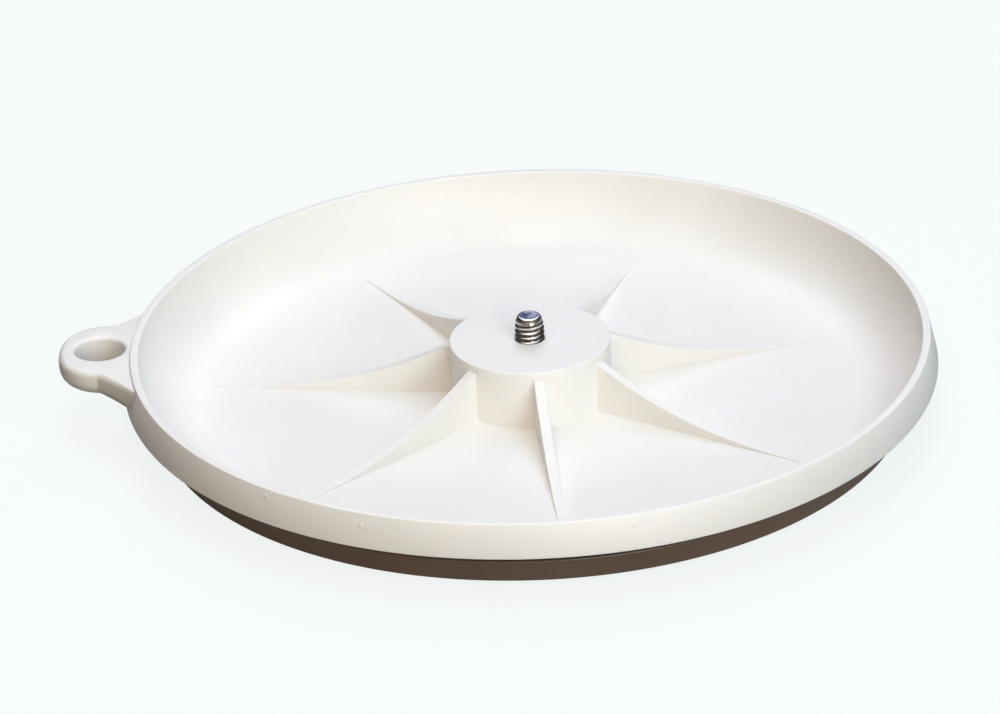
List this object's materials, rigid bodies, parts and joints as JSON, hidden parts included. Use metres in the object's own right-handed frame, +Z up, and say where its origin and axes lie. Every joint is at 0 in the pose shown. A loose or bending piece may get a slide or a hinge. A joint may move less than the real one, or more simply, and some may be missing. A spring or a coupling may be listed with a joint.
{
  "type": "sculpting turntable",
  "caption": "low sculpting turntable: ribbed, coved tray with a hollow hub, a centre bolt to screw work onto and a hanging lug, turning on a pressed pan",
  "frame": {"origin": "on the turning axis, on the table under the centre foot", "axes": "+Z up along the turning axis, -X toward the hanging lug, +Y across it"},
  "size_m": [0.2795, 0.2584, 0.0339],
  "materials": {
    "ivory_print": "layer-printed, satin",
    "pan_enamel": "dark enamel, satin",
    "foot_rubber": "moulded, matt",
    "cup_alloy": "turned",
    "screw_steel": "zinc plated",
    "spring_steel": "phosphated",
    "bearing_steel": "ground and polished",
    "cage_steel": "pressed",
    "ball_steel": "polished",
    "plated_bolt": "bright zinc plated",
    "plated_nut": "bright zinc plated",
    "shim_steel": "ground",
    "cage_nylon": "moulded, natural",
    "race_steel": "polished"
  },
  "bodies": {
    "base": {"base_pan": "pan_enamel", "centre_foot": "foot_rubber", "foot_1": "foot_rubber", "foot_2": "foot_rubber", "foot_3": "foot_rubber", "foot_4": "foot_rubber", "foot_5": "foot_rubber", "foot_6": "foot_rubber", "bearing_cup": "cup_alloy", "cup_screw_1": "screw_steel", "cup_screw_2": "screw_steel", "cup_screw_3": "screw_steel", "cup_screw_4": "screw_steel", "retaining_ring": "spring_steel", "bearing_outer_ring": "bearing_steel"},
    "turning_dish": {"dish": "ivory_print", "centre_bolt": "plated_bolt", "clamp_nut": "plated_nut", "spacer_lower": "shim_steel", "spacer_upper": "shim_steel", "bearing_inner_ring": "bearing_steel"},
    "rolling_sets": {"bearing_cage": "cage_steel", "bearing_ball_1": "ball_steel", "bearing_ball_2": "ball_steel", "bearing_ball_3": "ball_steel", "bearing_ball_4": "ball_steel", "bearing_ball_5": "ball_steel", "bearing_ball_6": "ball_steel", "bearing_ball_7": "ball_steel", "race_cage": "cage_nylon", "race_ball_1": "race_steel", "race_ball_2": "race_steel", "race_ball_3": "race_steel", "race_ball_4": "race_steel", "race_ball_5": "race_steel", "race_ball_6": "race_steel", "race_ball_7": "race_steel", "race_ball_8": "race_steel", "race_ball_9": "race_steel", "race_ball_10": "race_steel", "race_ball_11": "race_steel", "race_ball_12": "race_steel"}
  },
  "joints": [
    {"name": "dish_turn", "type": "hinge", "parent": "base", "child": "turning_dish", "pos_m": [0, 0, 0.0131], "axis": [0, 0, 1], "continuous": true},
    {"name": "rolling_turn", "type": "hinge", "parent": "base", "child": "rolling_sets", "pos_m": [0, 0, 0.006], "axis": [0, 0, 1], "continuous": true}
  ],
  "couplings": [
    {"joint": "rolling_turn", "follows": "dish_turn", "ratio": 0.5}
  ]
}
